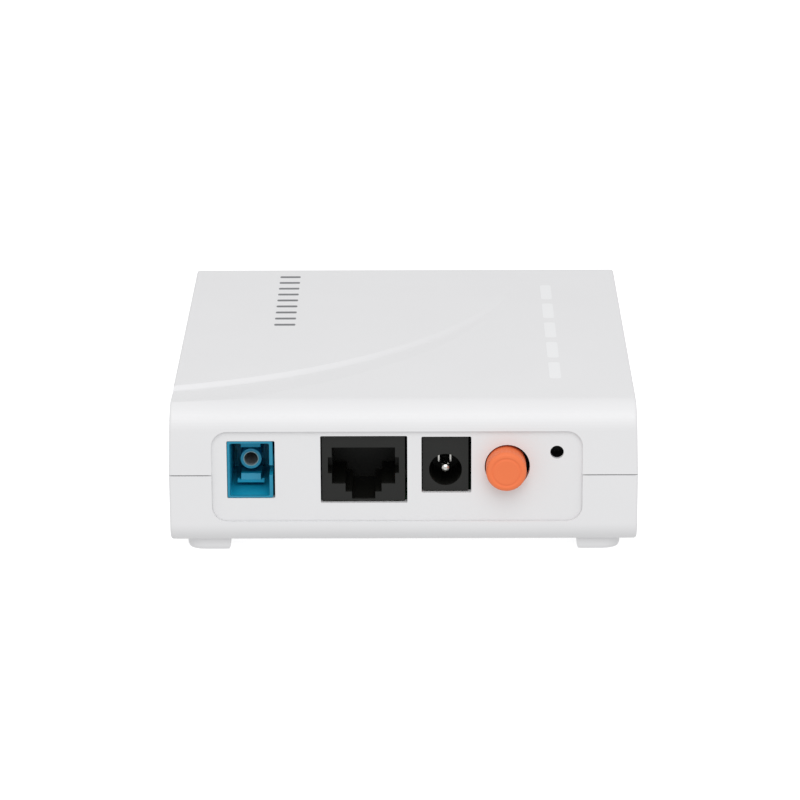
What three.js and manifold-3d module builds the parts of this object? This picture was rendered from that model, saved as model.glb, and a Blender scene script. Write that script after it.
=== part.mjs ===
// Optical network terminal: a small desktop box that turns an optical fibre into a LAN socket.
//
// Millimetres, +Z up. The ports face -Y, +X is to the right of someone facing them, and the origin
// is on the standing surface, under the middle of the outline with the power button included.
// The casing is two draughted shells that meet at a parting line. The upper shell carries the port
// panel, which hangs into a notch in the lower shell and laps behind that notch's edge. The board,
// with the sockets, the optical module and the switches on it, sits on standoffs of the lower shell.

import * as THREE from 'three';
import { mergeVertices } from 'three/addons/utils/BufferGeometryUtils.js';
import Module from 'manifold-3d';

const wasm = await Module();
wasm.setup();

// ---------------------------------------------------------------- driving dimensions

const WIDTH = 88; // across the parting line
const DEPTH = 100; // front face to back face, at the parting line
const TOP_Z = 29.6;
const PARTING_Z = 15.95;
const FOOT_HEIGHT = 2.3;
const BUTTON_PROUD = 3; // how far the released power button stands out of the front face
const WALL = 2;
const GAP = 0.3; // between pieces that meet
const SEAM = 0.2; // between the two shells, at the parting line
// Inward lean of each shell's upright walls, mm per mm away from the parting line.
const DRAFT = { upper: 0.024, lower: 0.002 };
const TOP_RADIUS = 5; // front and back edges of the upper shell
const BOTTOM_RADIUS = 4; // front and back edges of the lower shell
const EDGE_RADIUS = 0.5; // side edges of both shells

const FRONT_Y = -(DEPTH + BUTTON_PROUD) / 2 + BUTTON_PROUD;
const BACK_Y = FRONT_Y + DEPTH;
const MIDDLE_Y = (FRONT_Y + BACK_Y) / 2;

// The port panel is a rounded plate, sunk a little behind the front face.
const PANEL = { x0: -36, x1: 33.6, z0: 6.7, z1: 24.5, radius: 3 };
const PANEL_FACE_Y = FRONT_Y + 0.8;
const PANEL_BACK_Y = PANEL_FACE_Y + 1.9;
const PANEL_LAP = 0.7; // how far the panel reaches behind the edge of its opening
const LAP_GAP = 0.1; // between the panel and the edge that it sits behind
const SOCKET_FACE_Y = FRONT_Y + 1.5;

// The board and everything on it.
const BOARD_TOP_Z = 10.1;
const BOARD_THICKNESS = 1.6;
const SEAT_Z = BOARD_TOP_Z + GAP; // underside of the parts on the board
const BOARD = { x0: -38, x1: 37.5, y0: PANEL_BACK_Y + GAP, y1: 44.5 };

// Port centres, across and up.
const OPTICAL = { x: -28.88, z: 16.75 };
const LAN = { x: -7.5, z: 16.8 };
const POWER = { x: 7.9, z: 16.6 };
const BUTTON = { x: 19.5, z: 17.4 };
const RESET = { x: 28.8, z: 20.2 };
const BUTTON_SHIFT = -0.25; // the board sits this far off its panel holes

// Case screws run up through wells in the feet into posts of the upper shell.
const SCREW_X = 36.65;
const SCREW_YS = [FRONT_Y + 9.3, BACK_Y - 9.7];
const SCREW_PLACES = SCREW_YS.flatMap((y) => [[-SCREW_X, y], [SCREW_X, y]]);
const BOARD_SCREWS = [[-33.5, 6], [34, 6], [0, 40.5]];

// Five indicator windows in a row along the right side of the top.
const INDICATOR = { x: 29, width: 1.9, length: 10.4, corner: 0.5, firstY: -25.8, pitch: 13.8 };
const INDICATOR_YS = [0, 1, 2, 3, 4].map((i) => INDICATOR.firstY + i * INDICATOR.pitch);

// ---------------------------------------------------------------- finishes

const finish = (color, roughness, metalness = 0) => () =>
  new THREE.MeshStandardMaterial({ color, roughness, metalness });

const WHITE_ABS = finish(0xe9e9e7, 0.42);
const BLUE_PLASTIC = finish(0x2088b0, 0.4);
const BLACK_PLASTIC = finish(0x1c1c1e, 0.45);
const ORANGE_PLASTIC = finish(0xf07d50, 0.45);
const WHITE_PLASTIC = finish(0xdedcd4, 0.5);
const CLEAR_ACRYLIC = finish(0xf4f6f6, 0.2);
const BOARD_GREEN = finish(0x1d5b36, 0.5);
const CHIP_BLACK = finish(0x161618, 0.6);
const GREY_PAD = finish(0x8c99a6, 0.8);
const ALUMINIUM = finish(0xb9bcc0, 0.35, 1);
const STEEL = finish(0xa8abae, 0.35, 1);
const GOLD = finish(0xd8b04c, 0.25, 1);
const CERAMIC = finish(0xf1efe8, 0.3);
const LABEL_FILM = finish(0xd9dadb, 0.55);

// ---------------------------------------------------------------- shape helpers

// A closed geometry as a solid that can be joined and cut.
function solid(geometry) {
  const bare = geometry.clone();
  bare.deleteAttribute('normal');
  bare.deleteAttribute('uv');
  const merged = mergeVertices(bare, 1e-5);
  return new wasm.Manifold(new wasm.Mesh({
    numProp: 3,
    vertProperties: new Float32Array(merged.getAttribute('position').array),
    triVerts: new Uint32Array(merged.index.array),
  }));
}

function toGeometry(manifold) {
  const mesh = manifold.getMesh();
  const geometry = new THREE.BufferGeometry();
  geometry.setAttribute('position', new THREE.BufferAttribute(mesh.vertProperties, 3));
  geometry.setIndex(new THREE.BufferAttribute(mesh.triVerts, 1));
  geometry.computeVertexNormals();
  return geometry;
}

const join = (first, ...others) => others.reduce((sum, next) => sum.add(next), first);
const cut = (first, ...others) => others.reduce((rest, next) => rest.subtract(next), first);

function block(x0, x1, y0, y1, z0, z1) {
  const geometry = new THREE.BoxGeometry(x1 - x0, y1 - y0, z1 - z0);
  return solid(geometry.translate((x0 + x1) / 2, (y0 + y1) / 2, (z0 + z1) / 2));
}

// Round bars along Y and along Z, from one height on their axis to another.
function barY(radius, x, z, y0, y1, sides = 24) {
  const geometry = new THREE.CylinderGeometry(radius, radius, y1 - y0, sides);
  return solid(geometry.translate(x, (y0 + y1) / 2, z));
}

function barZ(radius, x, y, z0, z1, sides = 16) {
  const geometry = new THREE.CylinderGeometry(radius, radius, z1 - z0, sides);
  return solid(geometry.rotateX(Math.PI / 2).translate(x, y, (z0 + z1) / 2));
}

function shapeOf(points) {
  return new THREE.Shape(points.map(([u, v]) => new THREE.Vector2(u, v)));
}

// A rectangle with round corners; one radius for all of them, or one each for lower and upper.
function roundedShape(u0, u1, v0, v1, lower, upper = lower) {
  const shape = new THREE.Shape();
  const quarter = Math.PI / 2;
  shape.moveTo(u0 + lower, v0);
  shape.lineTo(u1 - lower, v0);
  shape.absarc(u1 - lower, v0 + lower, lower, -quarter, 0);
  shape.lineTo(u1, v1 - upper);
  shape.absarc(u1 - upper, v1 - upper, upper, 0, quarter);
  shape.lineTo(u0 + upper, v1);
  shape.absarc(u0 + upper, v1 - upper, upper, quarter, 2 * quarter);
  shape.lineTo(u0, v0 + lower);
  shape.absarc(u0 + lower, v0 + lower, lower, 2 * quarter, 3 * quarter);
  return shape;
}

const X = new THREE.Vector3(1, 0, 0);
const Y = new THREE.Vector3(0, 1, 0);
const Z = new THREE.Vector3(0, 0, 1);
const ALONG_X = new THREE.Matrix4().makeBasis(Y, Z, X);
const ALONG_Y = new THREE.Matrix4().makeBasis(X, Z, Y.clone().negate());

// A shape drawn across Y and Z, as a slab from x0 to x1.
function slabX(shape, x0, x1, options = {}) {
  const round = options.round ?? 0;
  const geometry = new THREE.ExtrudeGeometry(shape, {
    depth: x1 - x0 - 2 * round,
    curveSegments: options.segments ?? 8,
    bevelEnabled: round > 0,
    bevelThickness: round,
    bevelSize: round,
    bevelOffset: -round,
    bevelSegments: 3,
  });
  return geometry.applyMatrix4(ALONG_X).translate(x0 + round, 0, 0);
}

// A shape drawn across X and Z, as a slab from y0 to y1.
function slabY(shape, y0, y1, segments = 8) {
  const geometry = new THREE.ExtrudeGeometry(shape, {
    depth: y1 - y0, curveSegments: segments, bevelEnabled: false,
  });
  return solid(geometry.applyMatrix4(ALONG_Y).translate(0, y1, 0));
}

// A shape drawn across X and Y, as a slab from z0 to z1.
function slabZ(shape, z0, z1, segments = 8) {
  const geometry = new THREE.ExtrudeGeometry(shape, {
    depth: z1 - z0, curveSegments: segments, bevelEnabled: false,
  });
  return solid(geometry.translate(0, 0, z0));
}

// A profile of [radius, height] points turned about Z.
function turned(profile, sides = 16) {
  return new THREE.LatheGeometry(profile.map(([r, h]) => new THREE.Vector2(r, h)), sides)
    .rotateX(Math.PI / 2);
}

// A bent strip of flat stock, from x0 to x1, whose middle line follows [y, z] points.
function bentStrip(points, thickness, x0, x1) {
  const side = (way) => points.map((point, i) => {
    const before = points[Math.max(i - 1, 0)];
    const after = points[Math.min(i + 1, points.length - 1)];
    const run = new THREE.Vector2(after[0] - before[0], after[1] - before[1]).normalize();
    return [point[0] - way * run.y * thickness / 2, point[1] + way * run.x * thickness / 2];
  });
  return slabX(shapeOf([...side(1), ...side(-1).reverse()]), x0, x1);
}

const terminal = new THREE.Group();

function addPiece(name, shape, material) {
  const geometry = shape instanceof THREE.BufferGeometry ? shape : toGeometry(shape);
  const mesh = new THREE.Mesh(geometry, material());
  mesh.name = name;
  terminal.add(mesh);
}

// ---------------------------------------------------------------- casing

const UPPER = 1;
const LOWER = -1;

// Leans the upright walls of one half inward, away from the parting line.
function draughted(geometry, half) {
  const place = geometry.getAttribute('position');
  const draft = half === UPPER ? DRAFT.upper : DRAFT.lower;
  for (let i = 0; i < place.count; i += 1) {
    const inward = draft * half * (place.getZ(i) - PARTING_Z);
    place.setX(i, place.getX(i) * (1 - inward / (WIDTH / 2)));
    place.setY(i, MIDDLE_Y + (place.getY(i) - MIDDLE_Y) * (1 - inward / (DEPTH / 2)));
  }
  return solid(geometry);
}

// The outside of one half of the box, carried a little past the parting line, or that outside
// inset by some thickness.
function halfBlank(half, inset) {
  const beyond = 6;
  const [y0, y1] = [FRONT_Y + inset, BACK_Y - inset];
  const outline = half === UPPER
    ? roundedShape(y0, y1, PARTING_Z - beyond, TOP_Z - inset, 1, TOP_RADIUS - inset)
    : roundedShape(y0, y1, FOOT_HEIGHT + inset, PARTING_Z + beyond, BOTTOM_RADIUS - inset, 1);
  const [round, segments] = inset === 0 ? [EDGE_RADIUS, 7] : [0, 4];
  const halfWidth = WIDTH / 2 - inset;
  return draughted(slabX(outline, -halfWidth, halfWidth, { round, segments }), half);
}

const FAR = 100; // beyond every face of the box
const above = (z) => block(-FAR, FAR, -FAR, FAR, z, FAR);
const below = (z) => block(-FAR, FAR, -FAR, FAR, -FAR, z);

// The upper and lower shells overlap in a lip behind the seam: the lower one's lip stands up
// inside the upper one's thinned rim.
const LIP_OUTSIDE = 1.3;
const LIP_HEIGHT = 1.4;

function panelPlate(grow, y0, y1) {
  const { x0, x1, z0, z1, radius } = PANEL;
  return slabY(roundedShape(x0 - grow, x1 + grow, z0 - grow, z1 + grow, radius + grow), y0, y1, 8);
}

// An upright bar of an indicator window's outline, grown by some slack.
function indicatorBar(y, slack, z0, z1) {
  const { x, corner } = INDICATOR;
  const halfWidth = INDICATOR.width / 2 + slack;
  const halfLength = INDICATOR.length / 2 + slack;
  return slabZ(roundedShape(
    x - halfWidth, x + halfWidth, y - halfLength, y + halfLength, corner + slack,
  ), z0, z1, 2);
}

// Where the top steps down: a shallow scoop in front of an arc that enters at the left edge,
// deepest there and fading out towards the rear right. The step is steep at the left edge and
// ever gentler along the arc.
const SWEEP = {
  centre: { x: -65.7, y: FRONT_Y + 95.9 }, radius: 85.5, deepest: 0.9, reach: 14,
  leftEnd: THREE.MathUtils.degToRad(-77), farEnd: THREE.MathUtils.degToRad(-10),
  run: { left: 0.9, far: 7 }, sides: 96,
};

// Ring of the scoop's section, before it is tilted: an S-shaped step down, then a slope back up.
// The step is stretched about its own middle towards the far end.
function sweepRing() {
  const { radius, deepest, reach, leftEnd, farEnd, run, sides } = SWEEP;
  const steps = [0.2, 0.4, 0.6, 0.8, 1];
  const step = steps.map((t) => [radius + t * run.left, -deepest * THREE.MathUtils.smoothstep(t, 0, 1)]);
  const ring = turned([[radius, 0], ...step, [radius + reach, 0.1], [radius, 1], [radius, 0]], sides);
  const middle = radius + run.left / 2;
  const place = ring.getAttribute('position');
  for (let i = 0; i < place.count; i += 1) {
    const [x, y] = [place.getX(i), place.getY(i)];
    const away = Math.hypot(x, y);
    if (away < radius + reach / 2) {
      const along = THREE.MathUtils.clamp((Math.atan2(y, x) - leftEnd) / (farEnd - leftEnd), 0, 1);
      const stretched = middle + (away - middle) * THREE.MathUtils.lerp(1, run.far / run.left, along);
      place.setX(i, x * stretched / away);
      place.setY(i, y * stretched / away);
    }
  }
  return ring;
}

// The ring tilted about its own centre, so that it bites at the left edge and has left the top
// surface by the arc's far end.
function sweepCutter() {
  const { centre, radius, deepest, leftEnd, farEnd } = SWEEP;
  const rise = deepest / (2 * radius * Math.sin((farEnd - leftEnd) / 2));
  const uphill = (leftEnd + farEnd) / 2 + Math.PI / 2;
  const tiltAxis = new THREE.Vector3(Math.sin(uphill), -Math.cos(uphill), 0);
  const lift = rise * radius * Math.cos(leftEnd - uphill);
  const tilt = new THREE.Matrix4().makeRotationAxis(tiltAxis, Math.atan(rise));
  return solid(sweepRing().applyMatrix4(tilt).translate(centre.x, centre.y, TOP_Z - lift));
}

// Openings in the panel: the three socket cut-outs, the button hole and the reset pinhole.
const CUTOUTS = {
  optical: { x0: -33.13, x1: -24.1, z0: 11.23, z1: 22.5 },
  lan: { x0: -15.55, x1: 0.75, z0: 10.25, z1: 23.45 },
  power: { x0: 3.4, x1: 12.75, z0: 12.25, z1: 23.3 },
  buttonRadius: 4.25,
  resetRadius: 1.28,
  resetLip: 0.8, // the panel is this thick round the pinhole
};

function panelCutters() {
  const through = [PANEL_FACE_Y - 5, PANEL_BACK_Y + 5];
  const rectangle = ({ x0, x1, z0, z1 }) => slabY(roundedShape(x0, x1, z0, z1, 0.25), ...through, 2);
  return [
    rectangle(CUTOUTS.optical),
    rectangle(CUTOUTS.lan),
    rectangle(CUTOUTS.power),
    barY(CUTOUTS.buttonRadius, BUTTON.x, BUTTON.z, ...through, 36),
    barY(CUTOUTS.resetRadius, RESET.x, RESET.z, ...through, 20),
    barY(CUTOUTS.resetRadius * 2, RESET.x, RESET.z, PANEL_FACE_Y + CUTOUTS.resetLip, through[1], 20),
  ];
}

function topCover() {
  const skin = cut(halfBlank(UPPER, 0), below(PARTING_Z + SEAM / 2));
  const rim = cut(halfBlank(UPPER, LIP_OUTSIDE - GAP), above(PARTING_Z + LIP_HEIGHT + GAP));
  let cover = cut(skin, halfBlank(UPPER, WALL), rim);
  cover = cut(cover, panelPlate(0, FRONT_Y - 2, PANEL_FACE_Y));
  cover = join(cover, panelPlate(PANEL_LAP, PANEL_FACE_Y, PANEL_BACK_Y));
  cover = cut(cover, ...panelCutters(), sweepCutter());

  const postRadius = 2.6;
  const postFoot = 8.5;
  const pilotRadius = 1.45;
  const pilotTop = 21;
  const posts = SCREW_PLACES.map(([x, y]) => barZ(postRadius, x, y, postFoot, TOP_Z - WALL + 0.5));
  const pilots = SCREW_PLACES.map(([x, y]) => barZ(pilotRadius, x, y, postFoot - 1, pilotTop));
  cover = cut(join(cover, ...posts), ...pilots);

  const slack = 0.15;
  const windows = INDICATOR_YS.map((y) => indicatorBar(y, slack, TOP_Z - WALL - 1, TOP_Z + 1));
  return cut(cover, ...windows);
}

const FOOT = { width: 8.2, length: 12, corner: 3.6, outward: 0.25 }; // outward of its screw

// A foot is a low block whose two outer corners are rounded, round a screw well.
function footShape(x, y) {
  const side = Math.sign(x);
  const inner = x + side * (FOOT.outward - FOOT.width / 2);
  const outer = x + side * (FOOT.outward + FOOT.width / 2);
  const shape = new THREE.Shape();
  const [y0, y1] = [y - FOOT.length / 2, y + FOOT.length / 2];
  shape.moveTo(inner, y0);
  shape.lineTo(outer - side * FOOT.corner, y0);
  shape.quadraticCurveTo(outer, y0, outer, y0 + FOOT.corner);
  shape.lineTo(outer, y1 - FOOT.corner);
  shape.quadraticCurveTo(outer, y1, outer - side * FOOT.corner, y1);
  shape.lineTo(inner, y1);
  return shape;
}

function foot(x, y) {
  const geometry = new THREE.ExtrudeGeometry(footShape(x, y), {
    depth: FOOT_HEIGHT + 1, curveSegments: 5,
    bevelEnabled: true, bevelThickness: 0.8, bevelSize: 0.8, bevelOffset: -0.8, bevelSegments: 2,
  });
  return cut(solid(geometry.translate(0, 0, 0.8)), above(FOOT_HEIGHT + 1));
}

const KEYHOLES = [-26, 26];
const KEYHOLE = { y: 0, headRadius: 3.9, neckHalf: 1.9, length: 8 };
const LABEL = { x0: -28, x1: 28, y0: -38, y1: -14, recess: 0.6, film: 0.25 };
const VENTS = { count: 9, pitch: 4.4, half: 1, y0: 12, y1: 36 };

// Keyholes take the heads of two wall screws: a round hole with a slot towards the rear.
function keyhole(x) {
  const floor = [FOOT_HEIGHT - 1, FOOT_HEIGHT + WALL + 1];
  const head = barZ(KEYHOLE.headRadius, x, KEYHOLE.y, ...floor, 24);
  const neck = slabZ(roundedShape(
    x - KEYHOLE.neckHalf, x + KEYHOLE.neckHalf, KEYHOLE.y, KEYHOLE.y + KEYHOLE.length, 1.8,
  ), ...floor, 3);
  return join(head, neck);
}

function ventSlots() {
  return Array.from({ length: VENTS.count }, (_, i) => {
    const x = (i - (VENTS.count - 1) / 2) * VENTS.pitch;
    return slabZ(roundedShape(x - VENTS.half, x + VENTS.half, VENTS.y0, VENTS.y1, 0.95),
      FOOT_HEIGHT - 1, FOOT_HEIGHT + WALL + 1, 2);
  });
}

function bottomShell() {
  const skin = cut(halfBlank(LOWER, 0), above(PARTING_Z - SEAM / 2));
  const lipBlank = halfBlank(UPPER, LIP_OUTSIDE);
  const lip = cut(lipBlank, above(PARTING_Z + LIP_HEIGHT), below(PARTING_Z - 1));
  const room = join(
    cut(halfBlank(LOWER, WALL), above(PARTING_Z)),
    cut(halfBlank(UPPER, WALL), below(PARTING_Z)),
  );
  let shell = cut(join(skin, lip), room);
  const opening = panelPlate(0, FRONT_Y - 2, PANEL_BACK_Y);
  const rebate = panelPlate(PANEL_LAP + SEAM, PANEL_FACE_Y - LAP_GAP, PANEL_BACK_Y + GAP);
  shell = cut(shell, opening, rebate);

  const bossRadius = 3.9;
  const bossTop = 8.2;
  const standoffRadius = 2.6;
  const standoffTop = BOARD_TOP_Z - BOARD_THICKNESS - GAP;
  const floor = FOOT_HEIGHT + WALL / 2;
  shell = join(
    shell,
    ...SCREW_PLACES.map(([x, y]) => foot(x, y)),
    ...SCREW_PLACES.map(([x, y]) => barZ(bossRadius, x, y, floor, bossTop)),
    ...BOARD_SCREWS.map(([x, y]) => barZ(standoffRadius, x, y, floor, standoffTop)),
  );
  const wellRadius = 2.7;
  const wellTop = 5.8;
  const shankRadius = 1.5;
  return cut(
    shell,
    ...SCREW_PLACES.map(([x, y]) => barZ(wellRadius, x, y, -1, wellTop, 24)),
    ...SCREW_PLACES.map(([x, y]) => barZ(shankRadius, x, y, wellTop - 1, bossTop + 1)),
    ...BOARD_SCREWS.map(([x, y]) => barZ(1.15, x, y, FOOT_HEIGHT + WALL, standoffTop + 1, 12)),
    ...KEYHOLES.map(keyhole),
    ...ventSlots(),
    slabZ(roundedShape(LABEL.x0, LABEL.x1, LABEL.y0, LABEL.y1, 1.5), 0, FOOT_HEIGHT + LABEL.recess),
  );
}

function ratingLabel() {
  const inset = 0.4;
  const top = FOOT_HEIGHT + LABEL.recess - GAP;
  return slabZ(roundedShape(
    LABEL.x0 + inset, LABEL.x1 - inset, LABEL.y0 + inset, LABEL.y1 - inset, 1.2,
  ), top - LABEL.film, top, 5);
}

// A screw on Z: its head's outer face, with the cross recess, is at headZ, and it points up or down.
function screw({ x, y, headZ, headRadius, headHeight, shankRadius, length, pointsUp }) {
  const end = headHeight + length;
  const profile = [
    [0, 0], [headRadius * 0.7, 0], [headRadius, headHeight * 0.45], [headRadius, headHeight],
    [shankRadius, headHeight], [shankRadius, end - 1.2], [shankRadius * 0.3, end], [0, end],
  ];
  const arm = headRadius * 0.55;
  const slot = headRadius * 0.13;
  const depth = headHeight * 0.6;
  const cross = [
    block(-arm, arm, -slot, slot, -1, depth),
    block(-slot, slot, -arm, arm, -1, depth),
  ];
  const geometry = toGeometry(cut(solid(turned(profile, 10)), ...cross));
  if (!pointsUp) {
    geometry.rotateX(Math.PI);
  }
  return geometry.translate(x, y, headZ);
}

addPiece('top_cover', topCover(), WHITE_ABS);
addPiece('bottom_shell', bottomShell(), WHITE_ABS);
addPiece('rating_label', ratingLabel(), LABEL_FILM);
SCREW_PLACES.forEach(([x, y], i) => {
  const size = { headRadius: 2.3, headHeight: 1.6, shankRadius: 1.1, length: 11 };
  addPiece(`case_screw_${i + 1}`, screw({ x, y, headZ: 3.9, pointsUp: true, ...size }), STEEL);
});

// ---------------------------------------------------------------- board

function mainBoard() {
  const { x0, x1, y0, y1 } = BOARD;
  const plate = slabZ(roundedShape(x0, x1, y0, y1, 1), BOARD_TOP_Z - BOARD_THICKNESS, BOARD_TOP_Z, 4);
  const through = [BOARD_TOP_Z - 5, BOARD_TOP_Z + 5];
  const notch = 3.3;
  const holeRadius = 1.6;
  const postNotches = SCREW_PLACES.flatMap(([x, y]) => [
    barZ(notch, x, y, ...through),
    block(Math.min(x, x * 2), Math.max(x, x * 2), y - notch, y + notch, ...through),
  ]);
  const holes = BOARD_SCREWS.map(([x, y]) => barZ(holeRadius, x, y, ...through, 20));
  return cut(plate, ...postNotches, ...holes);
}

addPiece('main_board', mainBoard(), BOARD_GREEN);
BOARD_SCREWS.forEach(([x, y], i) => {
  const size = { headRadius: 2.3, headHeight: 1.5, shankRadius: 0.9, length: 5.6 };
  const headZ = BOARD_TOP_Z + GAP + size.headHeight;
  addPiece(`board_screw_${i + 1}`, screw({ x, y, headZ, pointsUp: false, ...size }), STEEL);
});

// A flat package with a shallow chamfer round its top: centre, size across and along, and height.
function chip(x, y, width, length, height, z = SEAT_Z) {
  const chamfer = 0.2;
  const corner = 0.45;
  const geometry = new THREE.ExtrudeGeometry(
    roundedShape(x - width / 2, x + width / 2, y - length / 2, y + length / 2, corner),
    {
      depth: height - chamfer, curveSegments: 1, bevelEnabled: true,
      bevelThickness: chamfer, bevelSize: chamfer, bevelOffset: -chamfer, bevelSegments: 1,
    },
  );
  return cut(solid(geometry.translate(0, 0, z)), below(z));
}

const SOC = { x: 2, y: 6, size: 17, height: 1.3 };
const PAD = { half: 8, height: 0.6 };
const HEATSINK = { size: 24, base: 1.6, height: 8, fins: 7, fin: 1.3 };

// Aluminium comb: a base plate with upright fins that run along X.
function heatsink(x, y, z) {
  const { size, base, height, fins, fin } = HEATSINK;
  const pitch = (size - fin) / (fins - 1);
  const points = [[y - size / 2, z], [y + size / 2, z]];
  for (let i = fins - 1; i >= 0; i -= 1) {
    const near = y - size / 2 + i * pitch;
    points.push([near + fin, z + height], [near, z + height]);
    if (i > 0) {
      points.push([near, z + base], [near - pitch + fin, z + base]);
    }
  }
  return slabX(shapeOf(points), x - size / 2, x + size / 2);
}

addPiece('gpon_processor', chip(SOC.x, SOC.y, SOC.size, SOC.size, SOC.height), CHIP_BLACK);
const padZ = SEAT_Z + SOC.height + GAP;
const padTop = padZ + PAD.height;
addPiece('thermal_pad', block(
  SOC.x - PAD.half, SOC.x + PAD.half, SOC.y - PAD.half, SOC.y + PAD.half, padZ, padTop,
), GREY_PAD);
addPiece('processor_heatsink', heatsink(SOC.x, SOC.y, padTop + GAP), ALUMINIUM);
addPiece('memory_chip', chip(22, -6, 9, 13, 1.2), CHIP_BLACK);
addPiece('flash_chip', chip(20, 12, 6, 8, 1.6), CHIP_BLACK);
addPiece('clock_crystal', chip(-15.5, 8, 3.2, 5, 1.1), STEEL);
addPiece('power_inductor_1', chip(9, -22.5, 7, 7, 3.2), CHIP_BLACK);
addPiece('power_inductor_2', chip(17.5, 24, 6, 6, 3), CHIP_BLACK);
addPiece('lan_transformer', chip(-7.5, -20.5, 12, 9.4, 5.2), CHIP_BLACK);
addPiece('laser_driver_shield', chip(-26, 25, 16, 20, 3.4), STEEL);

// Surface-mount electrolytic can on a square plastic base: centre, radius of the can, whole height.
function capacitor(x, y, radius, height) {
  const base = 1.1;
  const can = turned([
    [0, base - 0.1], [radius, base - 0.1], [radius, height - 0.5], [radius - 0.4, height], [0, height],
  ]);
  const seat = chip(0, 0, radius * 2 + 0.4, radius * 2 + 0.4, base, 0);
  return toGeometry(join(seat, solid(can))).translate(x, y, SEAT_Z);
}

addPiece('electrolytic_capacitor_1', capacitor(2.5, 31, 4, 9.6), ALUMINIUM);
addPiece('electrolytic_capacitor_2', capacitor(-9, 31, 3.15, 7.4), ALUMINIUM);
addPiece('electrolytic_capacitor_3', capacitor(-1, 22.5, 2.5, 5.6), ALUMINIUM);

// ---------------------------------------------------------------- optical socket

const SC = {
  faceY: PANEL_FACE_Y + 0.1, length: 24, cavityDepth: 18, keywayDepth: 9,
  tubeTip: 7, tubeOuter: 2, mouth: 1.4, tubeInner: 1.7,
};
const SC_BACK_Y = SC.faceY + SC.length;
const SC_OUTSIDE = { x0: -33.05, x1: -24.5, z0: 11.31, z1: 22.42 };
const SC_INSIDE = { x0: -32.58, x1: -25.16, z0: 11.65, z1: 21.98 };

const scBox = ({ x0, x1, z0, z1 }, y0, y1) => slabY(roundedShape(x0, x1, z0, z1, 0.3), y0, y1, 3);

// Square tube with a keyway in its right wall and a saddle that carries it down to the board.
function scHousing() {
  const cavityEnd = SC.faceY + SC.cavityDepth;
  const keyway = block(SC_INSIDE.x1 - 0.2, SC_OUTSIDE.x1 + 1, SC.faceY - 1, SC.faceY + SC.keywayDepth,
    OPTICAL.z - 0.95, OPTICAL.z + 0.95);
  const saddle = block(OPTICAL.x - 3.6, OPTICAL.x + 3.6, BOARD.y0 + 3, SC_BACK_Y - 2,
    SEAT_Z, SC_OUTSIDE.z0 + 0.2);
  const rearBore = barY(SC.tubeOuter + 0.35, OPTICAL.x, OPTICAL.z, cavityEnd - 1, SC_BACK_Y + 1);
  return cut(join(scBox(SC_OUTSIDE, SC.faceY, SC_BACK_Y), saddle),
    scBox(SC_INSIDE, SC.faceY - 1, cavityEnd), keyway, rearBore);
}

// The holder for the split sleeve: a tube with a narrower mouth, and a flange that seats against
// the housing's rear wall.
function scSleeveHolder() {
  const [tip, seat] = [SC.faceY + SC.tubeTip, SC.faceY + SC.cavityDepth - GAP];
  const tube = barY(SC.tubeOuter, OPTICAL.x, OPTICAL.z, tip, SC_BACK_Y - 1);
  const flangeHalf = { x: 3.2, z: 2.8 };
  const flange = block(OPTICAL.x - flangeHalf.x, OPTICAL.x + flangeHalf.x, seat - 1.6, seat,
    OPTICAL.z - flangeHalf.z, OPTICAL.z + flangeHalf.z);
  const mouth = barY(SC.mouth, OPTICAL.x, OPTICAL.z, tip - 1, SC_BACK_Y);
  const room = barY(SC.tubeInner, OPTICAL.x, OPTICAL.z, tip + 0.6, SC_BACK_Y);
  return cut(join(tube, flange), mouth, room);
}

const LATCH = { tip: 5.5, length: 10.3, width: 3.8, thick: 0.6, halfGap: 3.27 };
const TOOTH = { width: 3.7, inward: 2.6, ramp: 0.5, length: 1.5 }; // reaches in to this far off the axis
const BAR = { width: 5.05, inner: 3.7, outer: 4.25, length: 0.7 }; // across the arm's tip
const EAR = { width: 0.35, rise: 0.2 }; // at the ends of the crossbar

// One of the two springy arms that grip the plug: side is 1 for the upper arm, -1 for the lower.
// Its tip is a crossbar with two short ears, and behind that a tooth with a ramp points inward.
function scLatch(side) {
  const tipY = SC.faceY + LATCH.tip;
  const z = (offset) => OPTICAL.z + side * offset;
  const piece = (halfWidth, y0, y1, offset0, offset1, shift = 0) => block(
    OPTICAL.x + shift - halfWidth, OPTICAL.x + shift + halfWidth, y0, y1,
    Math.min(z(offset0), z(offset1)), Math.max(z(offset0), z(offset1)),
  );
  const arm = piece(LATCH.width / 2, tipY + 0.3, tipY + LATCH.length,
    LATCH.halfGap, LATCH.halfGap + LATCH.thick);
  const bar = piece(BAR.width / 2, tipY, tipY + BAR.length, BAR.inner, BAR.outer);
  const ears = [-1, 1].map((way) => piece(EAR.width / 2, tipY + 0.1, tipY + BAR.length - 0.1,
    BAR.inner - EAR.rise, BAR.inner + 0.1, way * (BAR.width - EAR.width) / 2));
  const tooth = shapeOf([
    [tipY + 0.1, z(BAR.inner + 0.1)], [tipY + TOOTH.ramp, z(TOOTH.inward)],
    [tipY + TOOTH.length, z(TOOTH.inward)], [tipY + TOOTH.length + 0.2, z(BAR.inner + 0.1)],
  ]);
  const half = TOOTH.width / 2;
  return join(arm, bar, ...ears, solid(slabX(tooth, OPTICAL.x - half, OPTICAL.x + half)));
}

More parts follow.
